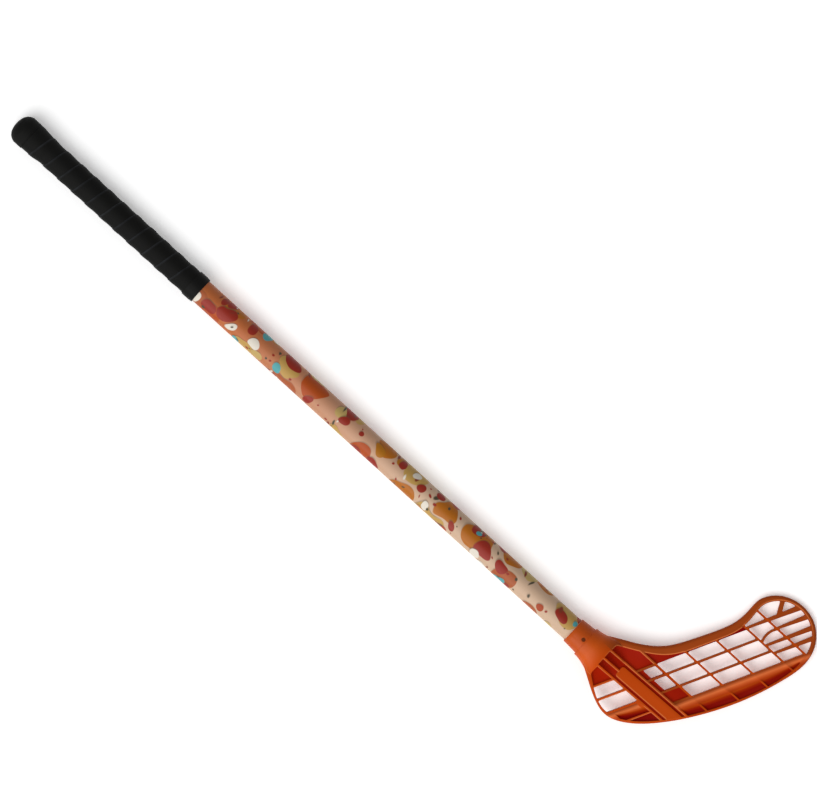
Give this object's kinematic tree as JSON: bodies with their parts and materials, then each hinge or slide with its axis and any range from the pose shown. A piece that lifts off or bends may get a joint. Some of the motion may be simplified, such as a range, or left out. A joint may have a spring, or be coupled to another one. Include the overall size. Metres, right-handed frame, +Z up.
{
  "type": "floorball stick",
  "caption": "Floorball stick with a hollow round shaft, a wound grip with a butt cap, and a bent openwork blade whose neck is socketed on the shaft.",
  "frame": {"origin": "centre of the bounding box's bottom face, with the floor the stick lies on at Z = 0", "axes": "+X along the shaft from the butt end to the blade, +Y towards the blade's toe, +Z up from the floor"},
  "size_m": [0.891, 0.2006, 0.0335],
  "materials": {
    "shaft": "fibre-reinforced composite tube, lacquered",
    "print": "glossy printed sleeve",
    "cap": "matt black moulded rubber",
    "tape": "matt black soft grip strip",
    "band": "black vinyl tape",
    "blade": "satin orange moulding",
    "screw": "blackened steel"
  },
  "bodies": {
    "root": {"shaft_tube": "shaft", "print_film": "print", "butt_cap": "cap", "grip_tape": "tape", "grip_band": "band", "blade": "blade", "blade_screw": "screw"}
  },
  "joints": []
}
